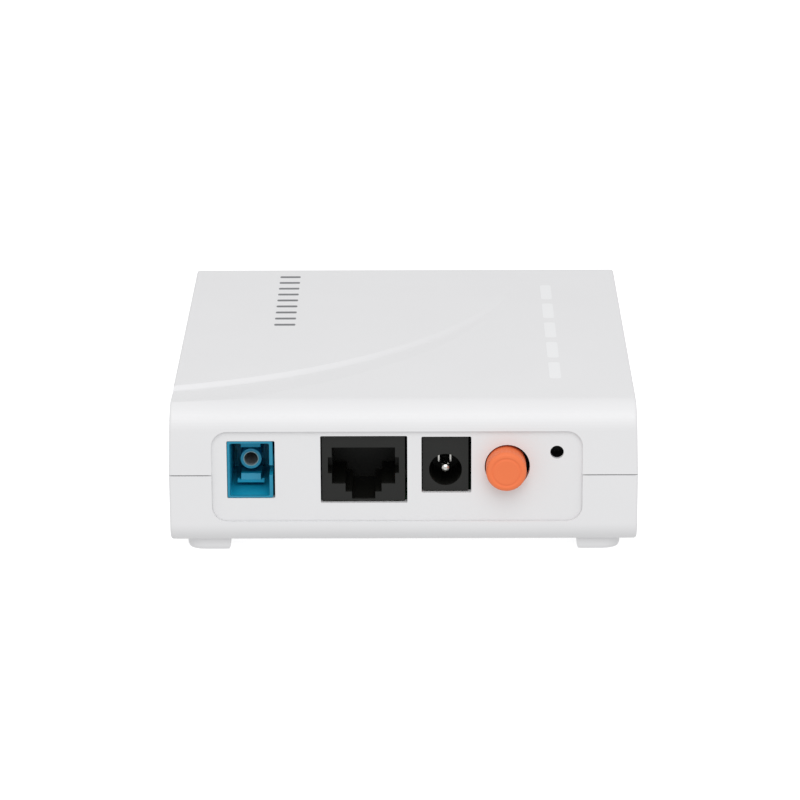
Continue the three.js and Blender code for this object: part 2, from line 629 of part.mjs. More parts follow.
// Zirconia sleeve, split along its top so that it can grip both ferrules.
function splitSleeve() {
  const [y0, y1] = [SC.faceY + SC.tubeTip + 0.9, SC.faceY + SC.tubeTip + 11.6];
  const [outside, inside, slitHalf] = [1.55, 1.33, 0.2];
  const slit = block(OPTICAL.x - slitHalf, OPTICAL.x + slitHalf, y0 - 1, y1 + 1, OPTICAL.z, OPTICAL.z + 3);
  const tube = barY(outside, OPTICAL.x, OPTICAL.z, y0, y1);
  return cut(tube, barY(inside, OPTICAL.x, OPTICAL.z, y0 - 1, y1 + 1), slit);
}

addPiece('sc_adapter_housing', scHousing(), BLUE_PLASTIC);
addPiece('sc_sleeve_holder', scSleeveHolder(), BLUE_PLASTIC);
addPiece('sc_latch_upper', scLatch(1), BLUE_PLASTIC);
addPiece('sc_latch_lower', scLatch(-1), BLUE_PLASTIC);
addPiece('sc_split_sleeve', splitSleeve(), CERAMIC);

// The optical module behind the socket: a metal block with a nosepiece and two sealed cans.
const MODULE = { y0: SC_BACK_Y + 1.4, y1: SC_BACK_Y + 11, half: 3.1 };

function moduleBody() {
  const { y0, y1, half } = MODULE;
  const core = slabY(roundedShape(
    OPTICAL.x - half, OPTICAL.x + half, OPTICAL.z - half, OPTICAL.z + half, 0.5,
  ), y0, y1, 3);
  const collar = barY(2.9, OPTICAL.x, OPTICAL.z, SC_BACK_Y + GAP, y0 + 1, 20);
  const stubBore = barY(1.15, OPTICAL.x, OPTICAL.z, SC_BACK_Y - 1, y1 - 2, 16);
  return cut(join(core, collar), stubBore);
}

function ferruleStub() {
  return barY(0.85, OPTICAL.x, OPTICAL.z, SC.faceY + SC.tubeTip + 8, MODULE.y1 - 3, 16);
}

// A sealed can on a round header, one at the module's rear and one at its side.
const CAN_PROFILE = [[0, 0], [2.8, 0], [2.8, 1.2], [2.3, 1.2], [2.3, 3.6], [0, 3.6]];

function laserCan() {
  const y = MODULE.y1 + GAP;
  return turned(CAN_PROFILE).rotateX(-Math.PI / 2).translate(OPTICAL.x, y, OPTICAL.z);
}

function photodiodeCan() {
  const x = OPTICAL.x + MODULE.half + GAP;
  const y = (MODULE.y0 + MODULE.y1) / 2;
  return turned(CAN_PROFILE).rotateY(Math.PI / 2).translate(x, y, OPTICAL.z);
}

addPiece('optical_module_body', moduleBody(), STEEL);
addPiece('ferrule_stub', ferruleStub(), CERAMIC);
addPiece('laser_can', laserCan(), GOLD);
addPiece('photodiode_can', photodiodeCan(), GOLD);

// ---------------------------------------------------------------- LAN socket

const SNOUT_GAP = 0.2; // round the socket faces, inside their cut-outs
const SNOUT_END_Y = PANEL_BACK_Y + GAP; // behind the panel the sockets reach down to the board
const JACK = { width: 15.6, top: CUTOUTS.lan.z1 - SNOUT_GAP, length: 15.4, wallBack: 13.4 };

function lanHousing() {
  const face = SOCKET_FACE_Y;
  const { x } = LAN;
  const half = JACK.width / 2;
  const outline = (bottom) => roundedShape(x - half, x + half, bottom, JACK.top, 0.3);
  const snout = slabY(outline(CUTOUTS.lan.z0 + SNOUT_GAP), face, SNOUT_END_Y + 1, 3);
  const body = join(snout, slabY(outline(SEAT_Z), SNOUT_END_Y, face + JACK.length, 3));
  const end = face + JACK.wallBack;
  const hole = (halfWidth, z0, z1, y1) => block(x - halfWidth, x + halfWidth, face - 1, y1, z0, z1);
  const plugRoom = hole(5.95, 13.85, 20.98, end);
  const shoulders = hole(6.68, 15.9, 19.05, face + 5);
  const tabRoom = hole(3.4, 12.25, 14, end);
  const tabNarrow = hole(2.2, 10.85, 12.4, end);
  const contactRoom = block(x - 4.4, x + 4.4, face + 2.2, end, 20, 22);
  return cut(body, plugRoom, shoulders, tabRoom, tabNarrow, contactRoom);
}

// Eight sprung wires that fold back under the ceiling of the socket and lean down to the rear.
function lanContact(index) {
  const wire = 0.4;
  const pitch = 1.02;
  const x = LAN.x + (index - 3.5) * pitch;
  const face = SOCKET_FACE_Y;
  const line = [
    [face + 12.8, 21.6], [face + 4.4, 21.6], [face + 3.6, 21.1], [face + 3.9, 20.5], [face + 11, 18.2],
  ];
  return bentStrip(line, wire, x - wire / 2, x + wire / 2);
}

addPiece('lan_jack_housing', lanHousing(), BLACK_PLASTIC);
for (let i = 0; i < 8; i += 1) {
  addPiece(`lan_contact_${i + 1}`, lanContact(i), GOLD);
}

// ---------------------------------------------------------------- power inlet

const INLET = { width: 8.6, top: CUTOUTS.power.z1 - SNOUT_GAP, length: 13.6, bore: 3.1, boreDepth: 10 };
const PIN_RADIUS = 0.95;
const PRONGS = [-1.25, 0.95]; // the spring's two prongs, either side of the pin
const PRONG_SIZE = 0.3; // width and thickness

function inletHousing() {
  const face = SOCKET_FACE_Y;
  const half = INLET.width / 2;
  const outline = (bottom) => roundedShape(POWER.x - half, POWER.x + half, bottom, INLET.top, 0.3);
  const snout = slabY(outline(CUTOUTS.power.z0 + SNOUT_GAP), face, SNOUT_END_Y + 1, 3);
  const frontBlock = slabY(outline(SEAT_Z), SNOUT_END_Y, face + 3.4, 3);
  const barrel = slabY(roundedShape(
    POWER.x - half + 0.2, POWER.x + half - 0.2, SEAT_Z, POWER.z + 4.2, 0.3, 4,
  ), face + 3, face + INLET.length, 4);
  const bore = barY(INLET.bore, POWER.x, POWER.z, face - 1, face + INLET.boreDepth, 32);
  const slotHalf = 1.7;
  const springSlot = block(POWER.x - slotHalf, POWER.x + slotHalf, face + 1.2, face + INLET.boreDepth,
    POWER.z, POWER.z + INLET.bore + 0.55);
  const pinBore = barY(PIN_RADIUS + GAP, POWER.x, POWER.z, face, face + INLET.length + 1, 16);
  return cut(join(snout, frontBlock, barrel), bore, springSlot, pinBore);
}

// Centre pin with a round tip.
function inletPin() {
  const length = 14.2;
  const tip = Array.from({ length: 5 }, (_, i) => {
    const angle = i * Math.PI / 8;
    return [PIN_RADIUS * Math.sin(angle), PIN_RADIUS * (1 - Math.cos(angle))];
  });
  const profile = [...tip, [PIN_RADIUS, length], [0, length]];
  return turned(profile).rotateX(-Math.PI / 2).translate(POWER.x, SOCKET_FACE_Y + 0.6, POWER.z);
}

// Forked spring along the top of the bore: each prong dips beside the pin and rises again towards
// the mouth, so that it presses on the plug's sleeve.
function inletSpring() {
  const face = SOCKET_FACE_Y;
  const top = POWER.z + INLET.bore;
  const line = [
    [face + 9.6, top + 0.1], [face + 4.2, top - 0.5], [face + 2.9, top - 2.2], [face + 2.4, top - 2.2],
    [face + 1.6, top - 0.1],
  ];
  const { x } = POWER;
  const half = PRONG_SIZE / 2;
  const [left, right] = PRONGS.map((across) => x + across);
  const prongs = [left, right].map((at) => solid(bentStrip(line, PRONG_SIZE, at - half, at + half)));
  const bridge = block(left - half, right + half, face + 8.4, face + 9.5, top - 0.1, top + 0.15);
  return join(bridge, ...prongs);
}

addPiece('dc_inlet_housing', inletHousing(), BLACK_PLASTIC);
addPiece('dc_inlet_pin', inletPin(), STEEL);
addPiece('dc_inlet_spring', inletSpring(), STEEL);

// ---------------------------------------------------------------- power switch and its button

const SWITCH = { half: 5, top: 22.6, y0: -41.5, length: 15 };
const CAP_X = BUTTON.x + BUTTON_SHIFT;
const CAP = { radius: 3.8, tipY: FRONT_Y - BUTTON_PROUD, backY: -43.8, round: 0.8 };
const RING = { radius: 2.62, half: 0.36, depth: 0.12 }; // the groove in the cap's end
const STEM = { half: 1.5, reach: 5.5 };

function switchBody() {
  const body = slabY(roundedShape(
    CAP_X - SWITCH.half, CAP_X + SWITCH.half, SEAT_Z, SWITCH.top, 0.4,
  ), SWITCH.y0, SWITCH.y0 + SWITCH.length, 3);
  const slide = STEM.half + 0.25;
  const well = block(CAP_X - slide, CAP_X + slide, SWITCH.y0 - 1, SWITCH.y0 + STEM.reach + 3,
    BUTTON.z - slide, BUTTON.z + slide);
  return cut(body, well);
}

// The square stem of the switch, gripped by the cap's socket.
function switchStem() {
  const y0 = CAP.backY - 2;
  return block(CAP_X - STEM.half, CAP_X + STEM.half, y0, SWITCH.y0 + STEM.reach,
    BUTTON.z - STEM.half, BUTTON.z + STEM.half);
}

// Round push cap with a rounded rim and a ring groove in its end.
function buttonCap() {
  const { radius, round } = CAP;
  const length = CAP.backY - CAP.tipY;
  const rim = Array.from({ length: 5 }, (_, i) => {
    const angle = i * Math.PI / 8;
    return [radius - round + round * Math.sin(angle), round - round * Math.cos(angle)];
  });
  const profile = [
    [0, 0], [RING.radius - RING.half, 0], [RING.radius, RING.depth], [RING.radius + RING.half, 0],
    ...rim, [radius, length], [0, length],
  ];
  const cap = solid(turned(profile, 32).rotateX(-Math.PI / 2).translate(CAP_X, CAP.tipY, BUTTON.z));
  const socket = STEM.half + GAP;
  return cut(cap, block(CAP_X - socket, CAP_X + socket, CAP.backY - 2 - GAP, CAP.backY + 1,
    BUTTON.z - socket, BUTTON.z + socket));
}

addPiece('power_switch_body', switchBody(), BLACK_PLASTIC);
addPiece('power_switch_stem', switchStem(), WHITE_PLASTIC);
addPiece('power_button_cap', buttonCap(), ORANGE_PLASTIC);

// ---------------------------------------------------------------- reset key

const KEY_Y = -42.6; // front of the reset switch

// A right-angle key switch on a moulded riser that lifts it to its pinhole.
function resetSwitch() {
  const { x, z } = RESET;
  const riser = block(x - 3.2, x + 3.2, KEY_Y + 0.8, KEY_Y + 6.4, SEAT_Z, z - 2.6);
  const body = slabY(roundedShape(x - 3, x + 3, z - 3, z + 3, 0.4), KEY_Y, KEY_Y + 3.6, 3);
  const back = block(x - 3.2, x + 3.2, KEY_Y + 3.3, KEY_Y + 4.6, z - 3, z + 3);
  return cut(join(riser, body, back), barY(1.65, x, z, KEY_Y - 1, KEY_Y + 2, 20));
}

addPiece('reset_switch_body', resetSwitch(), CHIP_BLACK);
const plunger = { radius: 1.4, y0: KEY_Y - 1.1, y1: KEY_Y + 1.4 };
addPiece('reset_switch_plunger', barY(
  plunger.radius, RESET.x, RESET.z, plunger.y0, plunger.y1, 20,
), BLACK_PLASTIC);

// ---------------------------------------------------------------- indicators

const LED_HEIGHT = 0.9;

// One clear moulding: a rail under the lid, with a window blade up and a stem down for each LED.
function lightGuide() {
  const rail = { z0: 22.4, z1: 24, half: 1.7, margin: 4 };
  const bladeTop = TOP_Z - 0.02;
  const stemRadius = 1.5;
  const stemFoot = SEAT_Z + LED_HEIGHT + 2 * GAP;
  const ends = [INDICATOR_YS[0] - rail.margin, INDICATOR_YS.at(-1) + rail.margin];
  const bar = block(INDICATOR.x - rail.half, INDICATOR.x + rail.half, ...ends, rail.z0, rail.z1);
  const blades = INDICATOR_YS.map((y) => indicatorBar(y, 0, rail.z1 - 0.5, bladeTop));
  const stems = INDICATOR_YS.map((y) => barZ(stemRadius, INDICATOR.x, y, stemFoot, rail.z0 + 0.5, 12));
  return join(bar, ...blades, ...stems);
}

addPiece('light_guide', lightGuide(), CLEAR_ACRYLIC);
INDICATOR_YS.forEach((y, i) => {
  addPiece(`indicator_led_${i + 1}`, chip(INDICATOR.x, y, 2, 1.6, LED_HEIGHT), WHITE_PLASTIC);
});

export default terminal;
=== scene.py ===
"""Looks of the optical network terminal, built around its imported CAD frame.

Metres, in the CAD frame: the ports face -Y, +Z is up. Lengths below are in millimetres times MM.
"""

import math
import random

import bmesh
import bpy
from mathutils import Matrix, Vector


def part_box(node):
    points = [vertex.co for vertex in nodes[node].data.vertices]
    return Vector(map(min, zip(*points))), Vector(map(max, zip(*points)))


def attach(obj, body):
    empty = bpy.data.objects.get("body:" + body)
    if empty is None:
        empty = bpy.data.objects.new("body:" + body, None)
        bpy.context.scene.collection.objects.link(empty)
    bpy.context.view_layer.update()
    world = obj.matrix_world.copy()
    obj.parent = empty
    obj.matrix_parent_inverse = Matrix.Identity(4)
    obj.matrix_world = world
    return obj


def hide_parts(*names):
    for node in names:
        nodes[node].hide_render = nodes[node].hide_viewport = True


MM = 0.001
BODY = "terminal"

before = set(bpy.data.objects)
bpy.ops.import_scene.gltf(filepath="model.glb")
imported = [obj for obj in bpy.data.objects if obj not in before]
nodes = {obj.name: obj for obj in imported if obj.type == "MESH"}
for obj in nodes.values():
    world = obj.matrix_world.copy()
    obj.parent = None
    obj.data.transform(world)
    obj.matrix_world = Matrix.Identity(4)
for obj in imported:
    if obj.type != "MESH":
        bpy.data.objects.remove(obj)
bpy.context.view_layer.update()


# ---------------------------------------------------------------- materials

class Shader:
    """One node material, with short names for the nodes that these materials share."""

    def __init__(self, name):
        self.material = bpy.data.materials.new(name)
        self.material.use_nodes = True
        self.tree = self.material.node_tree
        self.bsdf = self.tree.nodes["Principled BSDF"]
        self.place = self.tree.nodes.new("ShaderNodeTexCoord").outputs["Object"]

    def add(self, kind, settings=None, **inputs):
        node = self.tree.nodes.new(kind)
        for key, value in (settings or {}).items():
            setattr(node, key, value)
        for key, value in inputs.items():
            self.feed(node.inputs[key.replace("_", " ")], value)
        return node

    def feed(self, socket, value):
        if isinstance(value, bpy.types.NodeSocket):
            self.tree.links.new(value, socket)
        else:
            socket.default_value = value

    def noise(self, per_mm, detail=3.0, roughness=0.55):
        node = self.add("ShaderNodeTexNoise", Vector=self.place, Scale=per_mm / MM,
                        Detail=detail, Roughness=roughness)
        return node.outputs["Fac"]

    def ramp(self, value, low, high, start=0.3, end=0.7):
        """Takes a value from start to end on to the colours, or grey levels, low to high."""
        node = self.add("ShaderNodeValToRGB", Fac=value)
        for stop, place, shade in zip(node.color_ramp.elements, (start, end), (low, high)):
            stop.position = place
            stop.color = shade if hasattr(shade, "__len__") else (shade, shade, shade, 1)
        return node.outputs["Color"]

    def bump(self, height, depth):
        return self.add("ShaderNodeBump", Strength=1.0, Distance=depth, Height=height).outputs["Normal"]

    def set(self, **inputs):
        for key, value in inputs.items():
            self.feed(self.bsdf.inputs[key.replace("_", " ")], value)
        return self


def tint(color, factor):
    return tuple(min(1.0, c * factor) for c in color[:3]) + (1,)


GRAIN_PER_MM = 2.2  # of the spark-eroded surface on moulded plastic


def moulded(name, color, roughness=0.4, depth=0.012 * MM, vary=0.03, **extra):
    """Moulded plastic: fine spark-eroded grain, faint cloudiness, slightly uneven gloss."""
    s = Shader(name)
    cloud = s.noise(0.06, 2.0)
    fine = s.noise(GRAIN_PER_MM, 4.0, 0.6)
    s.set(Base_Color=s.ramp(cloud, tint(color, 1 - vary), tint(color, 1 + vary)))
    s.set(Roughness=s.ramp(fine, roughness - 0.06, roughness + 0.06))
    s.set(Normal=s.bump(fine, depth), **extra)
    return s.material


def socket_plastic_painted_depth(name, face, inside, face_y, roughness=0.35, **extra):
    """Moulded plastic of a socket, whose colour shifts from its face, at face_y in mm, to its inside colour,
    a painted depth tone: painted shade where that colour is darker, painted light where it is lighter.
    """
    s = Shader(name)
    along = s.add("ShaderNodeSeparateXYZ", Vector=s.place).outputs["Y"]
    # mask for the painted depth tone: 0 at the face, 1 from 1.2 mm behind it
    start, end = (face_y + 0.1) * MM, (face_y + 1.2) * MM
    inward = s.add("ShaderNodeMapRange", Value=along, From_Min=start, From_Max=end)
    fine = s.noise(GRAIN_PER_MM, 4.0, 0.6)
    mottle = s.add("ShaderNodeMix", {"data_type": "RGBA", "blend_type": "MULTIPLY"})
    mottle.inputs[0].default_value = 1.0
    # face colour to the inside colour along the mask: the painted depth tone
    s.feed(mottle.inputs[6], s.ramp(inward.outputs["Result"], tint(face, 1), tint(inside, 1), 0.0, 1.0))
    s.feed(mottle.inputs[7], s.ramp(s.noise(0.3, 2.0), 0.93, 1.0))
    s.set(Base_Color=mottle.outputs[2], Normal=s.bump(fine, 0.006 * MM), **extra)
    s.set(Roughness=s.ramp(fine, roughness - 0.06, roughness + 0.06))
    return s.material


def solder_mask(name, base, copper):
    """Green board lacquer over copper: straight tracks that run two ways, in patches."""
    s = Shader(name)
    tracks = []
    for direction in ("X", "Y"):
        wave = s.add("ShaderNodeTexWave", {"bands_direction": direction}, Vector=s.place, Scale=0.16 / MM)
        tracks.append(s.ramp(wave.outputs["Fac"], 0.0, 1.0, 0.62, 0.7))
    turn = s.add("ShaderNodeMix", {"data_type": "RGBA"})
    s.feed(turn.inputs[0], s.ramp(s.noise(0.09, 1.0), 0.0, 1.0, 0.49, 0.51))
    s.feed(turn.inputs[6], tracks[0])
    s.feed(turn.inputs[7], tracks[1])
    color = s.add("ShaderNodeMix", {"data_type": "RGBA"})
    s.feed(color.inputs[0], turn.outputs[2])
    s.feed(color.inputs[6], tint(base, 1))
    s.feed(color.inputs[7], tint(copper, 1))
    s.set(Base_Color=color.outputs[2], Roughness=s.ramp(s.noise(1.0), 0.26, 0.4))
    s.set(Normal=s.bump(turn.outputs[2], 0.02 * MM))
    return s.material


def metal(name, color, roughness):
    """Plated or drawn metal with a faint unevenness."""
    s = Shader(name)
    streak = s.noise(6.0, 3.0, 0.5)
    patch = s.noise(0.5, 2.0)
    s.set(Base_Color=s.ramp(patch, tint(color, 0.92), tint(color, 1.05)), Metallic=1.0)
    s.set(Roughness=s.ramp(streak, roughness - 0.08, roughness + 0.1))
    s.set(Normal=s.bump(streak, 0.002 * MM))
    return s.material


WHITE = (0.785, 0.785, 0.795)
SC_FACE_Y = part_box("sc_adapter_housing")[0].y / MM
SOCKET_FACE_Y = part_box("lan_jack_housing")[0].y / MM

MATERIALS = {
    "case_plastic": moulded("white_abs", WHITE, 0.44, vary=0.006, depth=0.006 * MM),
    # inside lighter than the face: painted light on the fibre socket's cavity floor and walls
    "optical_blue": socket_plastic_painted_depth("blue_pbt", (0.008, 0.25, 0.40), (0.01, 0.4, 0.6), SC_FACE_Y),
    # inside darker than the face: painted shade in the sockets' cavities
    "socket_black": socket_plastic_painted_depth("black_pbt", (0.0155, 0.016, 0.015), (0.006, 0.0062, 0.005),
                                   SOCKET_FACE_Y, 0.42, Specular_IOR_Level=0.32),
    "button_orange": moulded("orange_abs", (0.89, 0.205, 0.075), 0.5, vary=0.04, Specular_IOR_Level=0.22),
    "switch_plastic": moulded("switch_white", (0.62, 0.6, 0.55), 0.45, vary=0.05),
    "light_guide_clear": moulded("light_guide", (0.82, 0.83, 0.85), 0.2, vary=0.01, depth=0.002 * MM),
    "board_green": solder_mask("solder_mask", (0.008, 0.085, 0.03), (0.02, 0.19, 0.06)),
    "chip_black": moulded("chip_epoxy", (0.02, 0.02, 0.022), 0.55, vary=0.15),
    "thermal_grey": moulded("thermal_pad_grey", (0.28, 0.3, 0.33), 0.75, vary=0.06),
    "aluminium": metal("extruded_aluminium", (0.78, 0.79, 0.8), 0.35),
    "plated_steel": metal("plated_steel", (0.72, 0.71, 0.68), 0.2),
    "gold_contact": metal("gold_plate", (0.9, 0.62, 0.26), 0.25),
    # grey, not the white of zirconia: painted shade for the depth of the fibre sleeve's bore
    "ceramic_white": moulded("zirconia_painted_shade", (0.42, 0.43, 0.44), 0.2, depth=0.003 * MM, vary=0.05),
    "label_film": moulded("label_paper", (0.75, 0.75, 0.73), 0.5, depth=0.004 * MM, vary=0.02),
}
PRINT_GREY = moulded("printed_grey", (0.17, 0.175, 0.185), 0.5, vary=0.1, depth=0.002 * MM)
MILKY_LENS = moulded("milky_lens", (0.85, 0.855, 0.865), 0.44, vary=0.006, depth=0.001 * MM)
# pale greenish grey: painted highlight of the glint round the fibre sleeve's mouth
RIM_PAINTED_HIGHLIGHT = moulded("rim_painted_highlight", (0.45, 0.62, 0.6), 0.25, depth=0.002 * MM)
CAPACITOR_BASE = moulded("capacitor_base", (0.015, 0.015, 0.016), 0.5, vary=0.1)
CERAMIC_PART = moulded("ceramic_part", (0.3, 0.22, 0.14), 0.45, vary=0.25)

for node in nodes.values():
    for place in node.material_slots:
        place.material = MATERIALS[place.material.name]


# ---------------------------------------------------------------- mesh helpers

def rounded(x0, x1, y0, y1, radius, steps=5):
    """Corner points of a rectangle with round corners, counter-clockwise."""
    points = []
    corners = ((x1 - radius, y0 + radius, -90), (x1 - radius, y1 - radius, 0),
               (x0 + radius, y1 - radius, 90), (x0 + radius, y0 + radius, 180))
    for cx, cy, start in corners:
        for i in range(steps + 1):
            angle = math.radians(start + 90 * i / steps)
            points.append((cx + radius * math.cos(angle), cy + radius * math.sin(angle)))
    return points


AXES = {"x": (1, 2, 0), "y": (0, 2, 1), "z": (0, 1, 2)}  # which coordinates u, v and the depth are


def prism(bm, outline, start, end, axis="z"):
    """A closed slab: the outline, in mm, drawn across the axis and carried from start to end."""
    rings = []
    for depth in (start, end):
        ring = []
        for u, v in outline:
            at = [0.0, 0.0, 0.0]
            for coordinate, value in zip(AXES[axis], (u, v, depth)):
                at[coordinate] = value * MM
            ring.append(bm.verts.new(at))
        rings.append(ring)
    low, high = rings
    count = len(outline)
    bm.faces.new(low[::-1])
    bm.faces.new(high)
    for i in range(count):
        j = (i + 1) % count
        bm.faces.new((low[i], low[j], high[j], high[i]))


def turned(bm, profile, centre, axis="z", sides=32):
    """A solid turned about an axis from (radius, depth) points, in mm.

    The profile starts and ends at radius 0, or, for a ring, ends at its own first point.
    """
    u0, v0 = centre
    rings = []
    is_ring = profile[0] == profile[-1]
    for radius, depth in profile[:-1] if is_ring else profile:
        ring = []
        for i in range(1 if radius == 0 else sides):
            angle = 2 * math.pi * i / sides
            at = [0.0, 0.0, 0.0]
            parts = (u0 + radius * math.cos(angle), v0 + radius * math.sin(angle), depth)
            for coordinate, value in zip(AXES[axis], parts):
                at[coordinate] = value * MM
            ring.append(bm.verts.new(at))
        rings.append(ring)
    if is_ring:
        rings.append(rings[0])
    for low, high in zip(rings, rings[1:]):
        for i in range(sides):
            j = (i + 1) % sides
            corners = [low[i % len(low)], low[j % len(low)], high[j % len(high)], high[i % len(high)]]
            bm.faces.new(list(dict.fromkeys(corners)))


def piece(name, build, material, bevel=0.0, stands_for=(), smooth=35):
    """Builds one mesh piece, bevels its edges and puts it on the terminal's own body."""
    bm = bmesh.new()
    build(bm)
    bmesh.ops.recalc_face_normals(bm, faces=bm.faces)
    mesh = bpy.data.meshes.new(name)
    bm.to_mesh(mesh)
    bm.free()
    obj = bpy.data.objects.new(name, mesh)
    bpy.context.scene.collection.objects.link(obj)
    mesh.materials.append(material)
    mesh.shade_smooth()
    mesh.set_sharp_from_angle(angle=math.radians(smooth))
    if bevel:
        edge(obj, bevel)
    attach(obj, BODY)
    if stands_for:
        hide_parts(*stands_for)


def edge(obj, width):
    """A small round on every hard edge, which is what catches the light on a moulding."""
    bevel = obj.modifiers.new("edge_round", "BEVEL")
    bevel.width = width * MM
    bevel.segments = 2
    bevel.limit_method = "ANGLE"
    bevel.angle_limit = math.radians(35)
    bevel.harden_normals = True
    bevel.use_clamp_overlap = True


def soften(name, width):
    """Joins the flat faces of a CAD node that stays in view, then rounds its hard edges."""
    obj = nodes[name]
    weld = obj.modifiers.new("weld", "WELD")
    weld.merge_threshold = 0.001 * MM
    flat = obj.modifiers.new("flat_faces", "DECIMATE")
    flat.decimate_type = "DISSOLVE"
    flat.angle_limit = math.radians(0.5)
    edge(obj, width)


SOFTENED = {  # width of the round, in mm
    0.12: ("top_cover", "bottom_shell", "main_board", "processor_heatsink", "power_switch_body"),
    0.14: ("lan_jack_housing", "dc_inlet_housing", "reset_switch_body", "optical_module_body"),
    0.06: ("sc_adapter_housing", "sc_sleeve_holder", "sc_latch_upper", "sc_latch_lower", "rating_label"),
    0.3: ("laser_driver_shield", "power_inductor_1", "power_inductor_2", "lan_transformer"),
}
for width, names in SOFTENED.items():
    for name in names:
        soften(name, width)


def span(name):
    """A CAD node's box in mm: x0, x1, y0, y1, z0, z1."""
    low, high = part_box(name)
    return tuple(value / MM for axis in range(3) for value in (low[axis], high[axis]))


# ---------------------------------------------------------------- casing details

TOP_Z = span("top_cover")[5]
LED_SPANS = [span(f"indicator_led_{i}") for i in range(1, 6)]
WINDOW_CENTRES = [((x0 + x1) / 2, (y0 + y1) / 2) for x0, x1, y0, y1, _, _ in LED_SPANS]
LENS = {"half_width": 1.12, "half_length": 5.37, "radius": 0.66, "thick": 0.6, "sunk": 0.01}


def light_guide():
    """One clear moulding: a rail under the lid, with a blade up and a stem down for each indicator."""
    x0, x1, y0, y1, foot, _ = span("light_guide")
    rail_low, rail_high = 22.4, 24.0
    end_gap = 1.2
    overlap = 0.3
    blade_half_width, blade_half_length = 0.95, 5.15
    blade_top = TOP_Z - LENS["thick"] - LENS["sunk"]
    stem_top = rail_low + overlap
    stem = ((0, foot), (1.2, foot), (1.5, foot + 0.4), (1.5, stem_top), (0, stem_top))

    def build(bm):
        prism(bm, rounded(x0, x1, y0 + end_gap, y1 - end_gap, 0.8), rail_low, rail_high)
        for x, y in WINDOW_CENTRES:
            blade = rounded(x - blade_half_width, x + blade_half_width,
                            y - blade_half_length, y + blade_half_length, 0.5)
            prism(bm, blade, rail_high - overlap, blade_top)
            turned(bm, stem, (x, y), sides=24)

    piece("light_guide_moulding", build, MATERIALS["light_guide_clear"],
          bevel=0.1, stands_for=("light_guide",))


def indicator_lenses():
    """Milky ends of the light guide that close the five windows, flush with the lid."""
    top = TOP_Z - LENS["sunk"]
    for i, (x, y) in enumerate(WINDOW_CENTRES, 1):
        outline = rounded(x - LENS["half_width"], x + LENS["half_width"],
                          y - LENS["half_length"], y + LENS["half_length"], LENS["radius"])
        piece(f"indicator_lens_{i}", lambda bm: prism(bm, outline, top - LENS["thick"], top),
              MILKY_LENS)


def printed_bars():
    """A plain row of bars printed on the lid, left of the middle."""
    count, pitch, first_y = 9, 4.44, 5.9
    x0, x1, half_width = -26.0, -21.8, 0.65
    ink = 0.014

    def build(bm):
        for i in range(count):
            y = first_y + i * pitch
            prism(bm, rounded(x0, x1, y - half_width, y + half_width, 0.3, 3), TOP_Z - ink, TOP_Z + ink)

    piece("printed_bars", build, PRINT_GREY)


def label_print():
    """Plain rules and blocks on the underside label."""
    x0, _, y0, y1, z0, _ = span("rating_label")
    ink = 0.012
    margin = 3.0
    rows, rule_end, rule_half = 5, 4, 0.2
    square, square_starts = 7, (8, 17)
    band_start, band_end, band_height = 8, 24, 4.5
    low, high = y0 + margin, y1 - margin

    def build(bm):
        for i in range(rows):
            y = low + i * (high - low) / (rows - 1)
            rule = rounded(x0 + margin, rule_end, y - rule_half, y + rule_half, 0.1, 2)
            prism(bm, rule, z0 - ink, z0 + ink)
        for x in square_starts:
            prism(bm, rounded(x, x + square, low, low + square, 0.4, 3), z0 - ink, z0 + ink)
        prism(bm, rounded(band_start, band_end, high - band_height, high, 0.4, 3), z0 - ink, z0 + ink)

    piece("label_print", build, PRINT_GREY)


def sleeve_mouth_rim():
    """A thin pale rim round the mouth of the fibre sleeve's holder, coloured as a painted highlight of the
    glint on the mouth's edge.
    """
    low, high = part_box("sc_sleeve_holder")
    centre = ((low.x + high.x) / 2 / MM, (low.z + high.z) / 2 / MM)
    tip = low.y / MM
    front, back = tip - 0.03, tip + 0.25
    inside, outside = 1.3, 1.46
    rim = ((inside, front), (1.42, front), (outside, tip + 0.02), (outside, back), (inside, back),
           (inside, front))
    piece("sleeve_mouth_rim", lambda bm: turned(bm, rim, centre, axis="y", sides=40),
          RIM_PAINTED_HIGHLIGHT)


light_guide()
indicator_lenses()
printed_bars()
label_print()
sleeve_mouth_rim()

# ---------------------------------------------------------------- board details

BOARD_TOP = span("main_board")[5]


def gull_wings(bm, name, sides, count, reach=1.0, width=0.32):
    """Bent leads along the named sides of a chip, from just under half its height down to the board."""
    x0, x1, y0, y1, z0, z1 = span(name)
    knee = z0 + (z1 - z0) * 0.45
    thick = 0.15
    end_margin = 0.6
    across = {"x": (x0, x1, y0, y1), "y": (y0, y1, x0, x1)}
    for axis in sides:
        low, high, first, last = across[axis]
        pitch = (last - first - 2 * end_margin) / (count - 1)
        for edge_at, way in ((low, -1), (high, 1)):
            line = ((edge_at - way * 0.2, knee), (edge_at + way * 0.3, knee),
                    (edge_at + way * 0.45, BOARD_TOP + 0.1), (edge_at + way * reach, BOARD_TOP + 0.1))
            upper = [(u, v + thick / 2) for u, v in line]
            lower = [(u, v - thick / 2) for u, v in line]
            for i in range(count):
                middle = first + end_margin + i * pitch
                prism(bm, upper + lower[::-1], middle - width / 2, middle + width / 2,
                      "y" if axis == "x" else "x")


def chip_leads():
    def build(bm):
        gull_wings(bm, "gpon_processor", ("x", "y"), 24, 0.9, 0.28)
        gull_wings(bm, "memory_chip", ("x",), 18)
        gull_wings(bm, "flash_chip", ("x",), 4, 1.1, 0.45)
        gull_wings(bm, "lan_transformer", ("y",), 8, 1.3, 0.5)

    piece("chip_leads", build, MATERIALS["plated_steel"], smooth=20)


